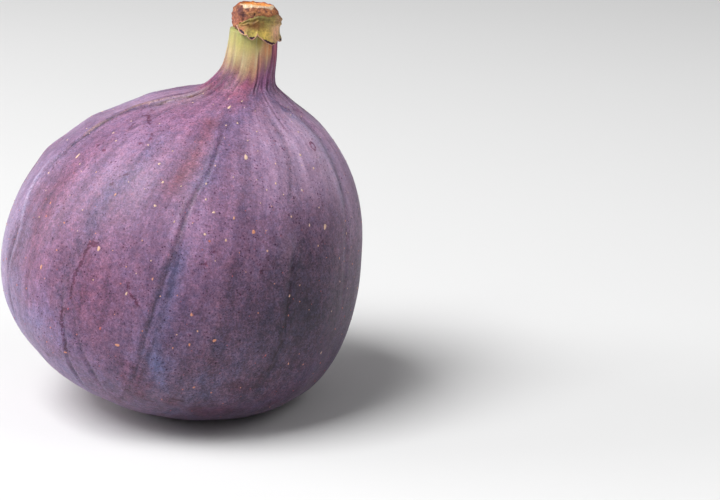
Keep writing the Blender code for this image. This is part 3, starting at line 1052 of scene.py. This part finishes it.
def build_stalk():
    theta = full_turn(STALK_COLUMNS)[None, :]
    stations = np.linspace(0.0, lengths_along(STALK_RINGS)[-1], STALK_ROWS)
    outline = blend_through(STALK_RINGS, stations)
    radius = np.broadcast_to(outline[:, :1], (STALK_ROWS, STALK_COLUMNS))
    sloped = CUT_SLOPE * radius * np.sin(theta) * smooth_step(2.4, 3.6, outline[:, 1:2])
    ring = around_axis(radius, theta, outline[:, 1:2] + sloped)
    bark = bark_share(ring, theta, stations[:, None])
    relief = stalk_relief(ring, bark, radius)
    points = place(*neck_top(), ring + relief[..., None] * surface_normals(ring))
    points = np.vstack([points.reshape(-1, 3), points[[0, -1]].mean(axis=1)])
    maps = {"local": ring, "zone": stalk_colours(ring, bark, theta, radius), "relief": relief}
    return add_piece("fig_stalk", points, stack_faces(STALK_ROWS, STALK_COLUMNS), ring_maps(maps))


# ---- The bracts

# Each bract: the line of its free edge, as (degrees, height above the neck's end), and the lobes that
# hang from it, as (first degree, last degree, depth). The same as in the CAD model.
BRACTS = {
    "bract_front": (
        ((233.0, 0.9), (258.0, -0.25), (280.0, 0.05), (338.0, -1.05), (368.0, -1.15)),
        ((233.0, 258.0, 0.6), (258.0, 280.0, 0.9), (280.0, 338.0, 1.15), (338.0, 368.0, 0.35)),
    ),
    "bract_back": (
        ((34.0, 0.0), (144.0, 0.2)),
        ((34.0, 72.0, 1.2), (72.0, 110.0, 1.3), (110.0, 144.0, 1.1)),
    ),
}
LOBE_POWER = 0.7
BRACT_PROFILE = (            # share of the way down, radius of the inner face
    (0.0, 3.2),
    (0.1, 3.6),
    (0.28, 3.85),
    (0.55, 3.95),
    (0.8, 4.1),
    (1.0, 4.4),
)
BRACT_ROOTS = {              # height of the root, as (degrees, millimetres above the neck's end)
    "bract_front": ((233, 1.2), (240, 1.6), (250, 2.2), (260, 2.7), (276, 3.2), (316, 3.3), (368, 2.8)),
    "bract_back": ((34, 2.4), (90, 2.8), (144, 2.3)),
}
BRACT_RADIUS = 4.0           # where the noise of its edge and its ripples is read
BRACT_LEDGES = ((0.16, 0.2, 0.05), (-0.1, 0.3, 0.04), (0.12, 0.4, 0.05))     # height, way down, width
BULGE_HEIGHT = 0.48
BULGE = ((350.0, 0.22), (26.0, 0.26))    # middle and half size, as (degrees, share of the way down)
EDGE_RAGGED = ((0.1, 0.7, 0), (0.06, 0.22, 1))       # its seeds count from the bract's own
BRACT_SEED, BRACT_SEED_STEP = 600, 10
BRACT_THICKNESS = 0.22
BRACT_ROWS = 60
BRACT_STEP_DEG = 0.9
BRACT = make_palette(
    base=(158, 146, 80),
    yellow=(226, 196, 96),
    olive=(112, 104, 58),
    crust=(128, 82, 42),
    tan=(206, 126, 94),
    pink=(246, 188, 150),
    brown=(160, 118, 86),
    seam=(84, 60, 42),
    shade=(58, 26, 44),
    rim=(214, 164, 140),
)
BRACT_PATCHES = (            # colour, strength, (degrees, height), half size
    ("olive", 0.85, (290, 2.6), (60, 0.9)),
    ("olive", 0.7, (256, 1.9), (15, 0.5)),
    ("brown", 1.0, (350, 2.4), (24, 0.9)),
    ("yellow", 0.95, (300, -0.2), (24, 1.3)),
    ("pink", 1.0, (334, 0.0), (22, 1.5)),
    ("tan", 1.0, (243, 0.1), (11, 0.9)),
    ("crust", 1.0, (277, 1.3), (18, 0.85)),
    ("crust", 0.8, (257, 1.0), (9, 0.4)),
    ("brown", 0.6, (100, 2.2), (60, 0.8)),
    ("yellow", 0.7, (95, 0.2), (20, 1.0)),
    ("tan", 0.8, (40, 0.4), (12, 1.0)),
    ("tan", 0.7, (152, 0.4), (12, 1.0)),
)


def free_edge(line, lobes, degrees):
    """Height of a bract's free edge, and how far down its lobe each place hangs, from 0 to 1."""
    edge = np.interp(degrees, *np.transpose(line))
    hang = np.zeros_like(degrees)
    for start, end, depth in lobes:
        across = np.clip((degrees - start) / (end - start), 0.0, 1.0)
        lobe = np.sin(math.pi * across) ** LOBE_POWER
        edge = edge - depth * lobe
        hang = np.maximum(hang, lobe)
    return edge, hang


def bract_colours(local, theta, height, down):
    broad = layered_noise(local, 1.0, 62)
    fine = layered_noise(local * [1.0, 1.0, 0.6], 0.4, 65)
    return coat(
        paint_patches(BRACT["base"], BRACT_PATCHES, BRACT, theta + 0.12 * broad, height + 0.3 * broad),
        (BRACT["crust"], 0.5 * smooth_step(0.25, 0.6, fine)),
        (BRACT["yellow"], 0.25 * smooth_step(0.2, 0.6, -fine)),
        (BRACT["seam"], 0.85 * smooth_step(0.07, 0.01, down)),
    )


def bract_radius(theta, down, around, rough, seed):
    """Distance of a bract's inner face from the axis, with its ledges, its bulge and its ripples."""
    radius = np.interp(down, *np.transpose(BRACT_PROFILE))
    radius = radius + sum(height * bell(down - middle, width) for height, middle, width in BRACT_LEDGES)
    radius = radius + BULGE_HEIGHT * oval(theta, down, *BULGE)
    ripple = 0.14 * noise(around, 1.6, seed + 2) * down**2
    return radius + ripple + 0.07 * layered_noise(rough, 0.8, seed + 3)


def build_bract(name, seed):
    """A thin scale, rooted in the bark, with a lobed free edge that curls off the neck."""
    line, lobes = BRACTS[name]
    start, end = line[0][0], line[-1][0]
    columns = 1 + round((end - start) / BRACT_STEP_DEG)
    degrees = np.linspace(start, end, columns)[None, :]
    down = np.linspace(0.0, 1.0, BRACT_ROWS)[:, None]
    theta = np.radians(degrees)
    around = around_axis(BRACT_RADIUS, theta[0], 0.0)
    edge, hang = free_edge(line, lobes, degrees)
    edge = edge + summed_noise(around, EDGE_RAGGED, seed)
    root = np.interp(degrees, *np.transpose(BRACT_ROOTS[name]))
    height = root + (edge - root) * down
    rough = around_axis(BRACT_RADIUS, theta, height)
    local = around_axis(bract_radius(theta, down, around, rough, seed), theta, height)
    maps = {
        "margin": (height - edge).ravel(),
        "hang": (hang * np.ones_like(down)).ravel(),
        "zone": bract_colours(rough, theta, height, down).reshape(-1, 3),
        "local": local.reshape(-1, 3),
    }
    points = place(*neck_top(), local).reshape(-1, 3)
    bract = add_piece(name + "_leaf", points, sheet_faces(BRACT_ROWS, columns), maps)
    give_thickness(bract, BRACT_THICKNESS, 1.0)
    return bract


# ---- The eye

EYE_SCALES = 5
EYE_SCALE_ROWS, EYE_SCALE_COLUMNS = 14, 18
EYE_SCALE_THICKNESS = 0.16
EYE_SCALE_INNER, EYE_SCALE_LENGTH = 0.15, 2.1
EYE_SCALE_LAP = 0.22         # how far its two sides lie above and below its middle
EYE_DOME = 0.45              # how far the scales bulge out of the eye
EYE_SCALE_SEED = 500
EYE_SCALE = make_palette(dark=(82, 44, 50), brown=(146, 92, 82), tip=(176, 138, 96))


def build_eye_scale(number):
    """One pointed scale of the ring that closes the eye, lapped over the next."""
    share = 2.0 * math.pi / EYE_SCALES
    out = np.linspace(0.0, 1.0, EYE_SCALE_ROWS)[:, None]
    spread = np.linspace(-1.0, 1.0, EYE_SCALE_COLUMNS)[None, :]
    radius = EYE_SCALE_INNER + EYE_SCALE_LENGTH * out
    half_angle = 0.62 * share * (1.0 - 0.35 * (1.0 - out) ** 2)
    angle = share * number + spread * half_angle
    lap = EYE_SCALE_LAP * spread
    dome = EYE_DOME * (1.0 - out**2) + 0.12 * (1.0 - spread**2)
    along = FRUIT_RINGS[0][1] + 0.35 - dome + lap * (0.4 + 0.6 * out)
    local = around_axis(radius, angle, along)
    local = local + 0.05 * noise(local, 0.5, EYE_SCALE_SEED + number)[..., None]
    points = place(EYE, LEAN, local).reshape(-1, 3)
    maps = {"out": (out * np.ones_like(spread)).ravel(), "local": local.reshape(-1, 3)}
    faces = sheet_faces(EYE_SCALE_ROWS, EYE_SCALE_COLUMNS)
    scale = add_piece(f"eye_scale_{number + 1}_leaf", points, faces, maps)
    give_thickness(scale, EYE_SCALE_THICKNESS, 0.0)
    return scale


# ---- Shader building


FIRST_COLOUR, SECOND_COLOUR, MIXED_COLOUR = 6, 7, 2  # sockets of the Mix node that carry colours


class Shader:
    """A material's node tree, with a short method for each kind of node it needs."""

    def __init__(self, name):
        self.material = bpy.data.materials.new(name)
        self.material.use_nodes = True
        self.tree = self.material.node_tree
        self.surface = self.tree.nodes["Principled BSDF"]

    def node(self, kind, inputs=None, **settings):
        made = self.tree.nodes.new(kind)
        for key, value in settings.items():
            setattr(made, key, value)
        for key, value in (inputs or {}).items():
            self.feed(made.inputs[key], value)
        return made

    def feed(self, socket, value):
        if isinstance(value, bpy.types.NodeSocket):
            self.tree.links.new(value, socket)
        elif socket.type == "RGBA" and len(value) == 3:
            socket.default_value = (*value, 1.0)
        else:
            socket.default_value = value

    def map(self, name, output="Fac"):
        return self.node("ShaderNodeAttribute", attribute_name=name).outputs[output]

    def millimetres(self):
        place_m = self.node("ShaderNodeTexCoord").outputs["Object"]
        return self.scaled(place_m, (1000.0, 1000.0, 1000.0))

    def vector_math(self, operation, first, second):
        return self.node("ShaderNodeVectorMath", {0: first, 1: second}, operation=operation).outputs[0]

    def scaled(self, vector, factors):
        return self.vector_math("MULTIPLY", vector, factors)

    def moved(self, vector, offset):
        return self.vector_math("ADD", vector, offset)

    def math(self, operation, first, second):
        return self.node("ShaderNodeMath", {0: first, 1: second}, operation=operation).outputs[0]

    def plus(self, first, second):
        return self.math("ADD", first, second)

    def minus(self, first, second):
        return self.math("SUBTRACT", first, second)

    def times(self, first, second):
        return self.math("MULTIPLY", first, second)

    def noise(self, vector, scale, detail, roughness):
        inputs = {"Vector": vector, "Scale": scale, "Detail": detail, "Roughness": roughness}
        return self.node("ShaderNodeTexNoise", inputs).outputs["Fac"]

    def cells(self, vector, scale):
        """Distance to the nearest cell's middle, and a random colour for each cell."""
        made = self.node("ShaderNodeTexVoronoi", {"Vector": vector, "Scale": scale})
        return made.outputs["Distance"], made.outputs["Color"]

    def part(self, colour, channel):
        return self.node("ShaderNodeSeparateColor", {"Color": colour}).outputs[channel]

    def step(self, value, low=0.3, high=0.7, low_out=0.0, high_out=1.0, curve="SMOOTHSTEP"):
        """A value's way from low to high, as a number from low_out to high_out."""
        inputs = {"Value": value, "From Min": low, "From Max": high, "To Min": low_out, "To Max": high_out}
        return self.node("ShaderNodeMapRange", inputs, interpolation_type=curve).outputs["Result"]

    def mix(self, amount, first, second, blend="MIX"):
        made = self.node("ShaderNodeMix", data_type="RGBA", blend_type=blend)
        self.feed(made.inputs["Factor"], amount)
        self.feed(made.inputs[FIRST_COLOUR], first)
        self.feed(made.inputs[SECOND_COLOUR], second)
        return made.outputs[MIXED_COLOUR]

    def vary(self, colour, value, spread):
        """Darken a colour by the spread where a noise value is 0, and lighten it as much where it is 1."""
        dark = tuple(1.0 - part for part in spread)
        light = tuple(1.0 + part for part in spread)
        return self.mix(1.0, colour, self.mix(value, dark, light), "MULTIPLY")

    def swing(self, value, strength):
        """Stretch a noise value about 0.5."""
        return self.plus(self.times(self.minus(value, 0.5), strength), 0.5)

    def bump(self, height, strength, distance):
        inputs = {"Height": height, "Strength": strength, "Distance": distance}
        return self.node("ShaderNodeBump", inputs).outputs["Normal"]

    def finish(self, inputs):
        for key, value in inputs.items():
            self.feed(self.surface.inputs[key], value)
        return self.material


# ---- Materials


def specks(shader, vector, scale, size, share):
    """Small round dots: one in each cell of the share chosen, each of its own size."""
    distance, random = shader.cells(vector, scale)
    chosen = shader.step(shader.part(random, "Red"), 1.0 - share, 1.02 - share)
    radius = shader.step(shader.part(random, "Green"), 0.0, 1.0, 0.6 * size * scale, size * scale)
    dot = shader.step(shader.math("DIVIDE", distance, radius), 1.0, 0.6)
    return shader.times(dot, chosen)


def skin_tone(s, zone, where, rolled):
    """The skin's colour with its streaks, its grain and its drift between pink and blue."""
    streaks = s.noise(s.scaled(rolled, (1.0, 1.0, 0.16)), 0.34, 3.0, 0.75)
    broad = s.noise(where, 0.7, 4.0, 0.95)
    fine = s.noise(s.moved(where, (5.0, 31.0, 8.0)), 3.2, 2.0, 0.9)
    hue = s.noise(s.moved(where, (40.0, 7.0, 19.0)), 0.7, 4.0, 0.95)
    strength = s.map("grain")
    broad = s.swing(s.step(broad, curve="LINEAR"), strength)
    fine = s.swing(s.step(fine, curve="LINEAR"), strength)
    colour = s.vary(zone, s.step(streaks, curve="LINEAR"), (0.27, 0.29, 0.25))
    colour = s.vary(colour, broad, (0.34, 0.36, 0.32))
    colour = s.vary(colour, fine, (0.3, 0.32, 0.28))
    hue = s.swing(s.step(hue, 0.32, 0.68, curve="LINEAR"), strength)
    return s.vary(colour, hue, (0.14, 0.02, -0.04))


def skin_material():
    s = Shader("fig_skin")
    where = s.millimetres()
    rolled = s.map("rolled", "Vector")
    zone = s.map("zone", "Color")
    ripe = s.map("ripe")
    body = skin_tone(s, zone, where, rolled)
    colour = s.mix(s.step(ripe, 0.0, 1.0, 0.3, 1.0), zone, body)
    pins = s.math("MAXIMUM", specks(s, where, 1.1, 0.22, 0.6), specks(s, where, 2.0, 0.15, 0.75))
    patchy = s.noise(s.moved(where, (3.0, 50.0, 9.0)), 0.3, 3.0, 0.7)
    pins = s.times(pins, s.step(patchy, 0.36, 0.58, 0.3, 1.0))
    darker = s.mix(1.0, colour, SPECK_TINT, "MULTIPLY")
    colour = s.mix(s.times(pins, ripe), colour, darker)
    ruddy = s.times(specks(s, s.moved(where, (17.0, 3.0, 29.0)), 0.75, 0.13, 0.8), ripe)
    colour = s.mix(s.times(ruddy, 0.7), colour, SKIN["ruddy"])
    ragged = s.noise(where, 2.0, 4.0, 0.8)
    blot = s.plus(s.map("blot"), s.times(s.minus(ragged, 0.5), 2.6))
    blot = s.step(blot, 0.5, 0.75, 0.0, 0.8)
    colour = s.mix(blot, colour, s.mix(1.0, colour, BLOT_TINT, "MULTIPLY"))
    grit = s.noise(where, 3.2, 3.0, 0.6)
    pores = s.noise(where, 1.6, 4.0, 0.6)
    height = s.plus(s.times(pores, 0.6), s.times(grit, 0.35))
    return s.finish({
        "Base Color": colour,
        "Roughness": s.step(pores, 0.3, 0.7, 0.46, 0.58),
        "Specular IOR Level": 0.42,
        "Subsurface Weight": 0.08,
        "Subsurface Radius": (1.0, 0.4, 0.3),
        "Subsurface Scale": 0.002,
        "Sheen Weight": 0.3,
        "Sheen Roughness": 0.3,
        "Sheen Tint": SKIN["bloom"],
        "Normal": s.bump(height, 0.3, 0.0002),
    })


def lenticel_material():
    s = Shader("fig_lenticel")
    tint = s.map("tint")
    colour = s.mix(s.step(tint, 0.1, 0.6), LENTICEL["cream"], LENTICEL["peach"])
    colour = s.mix(s.step(tint, 0.6, 1.0), colour, LENTICEL["red"])
    colour = s.mix(s.step(s.map("inside"), 0.75, 0.1), colour, LENTICEL["rim"])
    grit = s.noise(s.millimetres(), 6.0, 3.0, 0.6)
    return s.finish({
        "Base Color": s.vary(colour, grit, (0.25, 0.28, 0.3)),
        "Roughness": s.step(grit, 0.3, 0.7, 0.6, 0.8),
        "Normal": s.bump(grit, 0.4, 0.0001),
    })


def stalk_material():
    s = Shader("fig_stalk")
    local = s.map("local", "Vector")
    crust = s.noise(local, 4.0, 4.0, 0.7)
    rust = s.noise(local, 1.6, 5.0, 0.8)
    colour = s.vary(s.map("zone", "Color"), s.step(rust), (0.26, 0.3, 0.32))
    colour = s.vary(colour, s.step(crust), (0.3, 0.3, 0.28))
    # Painted shade in the bark's pits, darker the deeper they sink.
    colour = s.mix(s.step(s.map("relief"), -0.03, -0.18, 0.0, 0.65), colour, STALK["pit"])
    return s.finish({
        "Base Color": colour,
        "Roughness": s.step(crust, 0.3, 0.7, 0.65, 0.9),
        "Specular IOR Level": 0.3,
        "Normal": s.bump(crust, 0.5, 0.0002),
    })


def bract_material():
    s = Shader("fig_bract")
    local = s.map("local", "Vector")
    margin = s.map("margin")
    mottle = s.noise(local, 1.8, 5.0, 0.75)
    fine = s.noise(s.scaled(local, (1.0, 1.0, 0.4)), 5.0, 4.0, 0.6)
    colour = s.vary(s.map("zone", "Color"), s.step(mottle), (0.25, 0.26, 0.28))
    colour = s.vary(colour, s.step(fine), (0.12, 0.12, 0.12))
    ragged = s.plus(s.times(s.minus(mottle, 0.5), 0.2), margin)
    # Painted shade under the hanging lobes' edges, partly a dark dried margin.
    shade_reach = s.step(s.map("hang"), 0.6, 0.98, 0.0, 0.5)
    dark = s.minus(shade_reach, ragged)
    colour = s.mix(s.step(dark, 0.0, 0.1), colour, BRACT["shade"])
    colour = s.mix(s.step(ragged, 0.12, 0.05), colour, BRACT["rim"])
    return s.finish({
        "Base Color": colour,
        "Roughness": s.step(fine, 0.3, 0.7, 0.5, 0.75),
        "Specular IOR Level": 0.35,
        "Subsurface Weight": 0.1,
        "Subsurface Radius": (0.8, 0.8, 0.3),
        "Subsurface Scale": 0.001,
        "Normal": s.bump(s.plus(mottle, fine), 0.4, 0.0002),
    })


def eye_scale_material():
    s = Shader("fig_eye_scale")
    local = s.map("local", "Vector")
    fine = s.noise(local, 2.5, 6.0, 0.65)
    colour = s.mix(s.step(fine, 0.35, 0.65), EYE_SCALE["dark"], EYE_SCALE["brown"])
    colour = s.mix(s.step(s.map("out"), 0.3, 0.0), colour, EYE_SCALE["tip"])
    return s.finish({
        "Base Color": colour,
        "Roughness": s.step(fine, 0.3, 0.7, 0.6, 0.85),
        "Normal": s.bump(fine, 0.5, 0.0002),
    })


def floor_material():
    s = Shader("studio_floor")
    faint = s.noise(s.millimetres(), 0.004, 2.0, 0.5)
    colour = s.mix(faint, FLOOR["grey"], FLOOR["pale"])
    return s.finish({"Base Color": colour, "Roughness": 0.9, "Specular IOR Level": 0.2})


# ---- Stage, light and camera

FLOOR_SIZE = 6.0
FLOOR = make_palette(grey=(224, 224, 224), pale=(228, 228, 228))
CAMERA_AIM = (0.0291, 0.0, 0.0252)       # the fig stands left of the picture's middle
CAMERA_DISTANCE = 0.33
CAMERA_ELEVATION = math.radians(16.0)
CAMERA_LENS, CAMERA_SENSOR = 100.0, 36.0
WORLD_LIGHT = 0.2
LIGHTS = {                   # place, size, power
    "key": ((-0.45, -0.3, 0.9), 0.6, 12.8),
    "left_edge": ((-0.8, 0.1, 0.35), 0.4, 2.8),
    "right_high": ((0.7, -0.25, 0.7), 0.5, 1.2),
}
LIGHTS_AIM = (0.0, 0.0, 0.03)


def aim(thing, target):
    """Turn a light or camera at its place to face a point."""
    direction = Vector(target) - thing.location
    thing.rotation_euler = direction.to_track_quat("-Z", "Y").to_euler()


def add_floor():
    half = FLOOR_SIZE / 2.0
    mesh = bpy.data.meshes.new("studio_floor")
    corners = [(-half, -half, 0.0), (half, -half, 0.0), (half, half, 0.0), (-half, half, 0.0)]
    mesh.from_pydata(corners, [], [(0, 1, 2, 3)])
    mesh.materials.append(floor_material())
    add_object("studio_floor", mesh)


def add_light(name, location, size, power):
    data = bpy.data.lights.new(name, "AREA")
    data.shape = "SQUARE"
    data.size = size
    data.energy = power
    light = add_object(name, data)
    light.location = location
    aim(light, LIGHTS_AIM)


def add_lights():
    world = bpy.data.worlds.new("studio")
    world.use_nodes = True
    background = world.node_tree.nodes["Background"]
    background.inputs["Color"].default_value = (1.0, 1.0, 1.0, 1.0)
    background.inputs["Strength"].default_value = WORLD_LIGHT
    bpy.context.scene.world = world
    for name, settings in LIGHTS.items():
        add_light(name, *settings)


def add_camera():
    data = bpy.data.cameras.new("camera")
    data.lens = CAMERA_LENS
    data.sensor_width = CAMERA_SENSOR
    camera = add_object("camera", data)
    back = Vector((0.0, -math.cos(CAMERA_ELEVATION), math.sin(CAMERA_ELEVATION)))
    camera.location = Vector(CAMERA_AIM) + CAMERA_DISTANCE * back
    aim(camera, CAMERA_AIM)
    bpy.context.scene.camera = camera


# ---- Assembly


def dress(piece, slot, material, *nodes):
    """Give a finished piece its material and body, in place of the CAD nodes it stands for."""
    piece.data.materials.append(material)
    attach(piece, "root")
    if nodes:
        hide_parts(*nodes)


def build_fig():
    grid = skin_grid()
    skin, surface = build_skin(grid)
    dress(skin, "fig_skin", skin_material(), "fruit")
    dress(build_lenticels(grid, surface), "fig_skin", lenticel_material())
    dress(build_stalk(), "stalk_cork", stalk_material(), "stalk")
    leaf = bract_material()
    for number, name in enumerate(BRACTS):
        bract = build_bract(name, BRACT_SEED + BRACT_SEED_STEP * number)
        dress(bract, "bract_green", leaf, name)
    dry = eye_scale_material()
    for number in range(EYE_SCALES):
        dress(build_eye_scale(number), "eye_scale", dry, f"eye_scale_{number + 1}")


add_camera()
add_lights()
add_floor()
bpy.context.scene.view_settings.view_transform = "Standard"
build_fig()
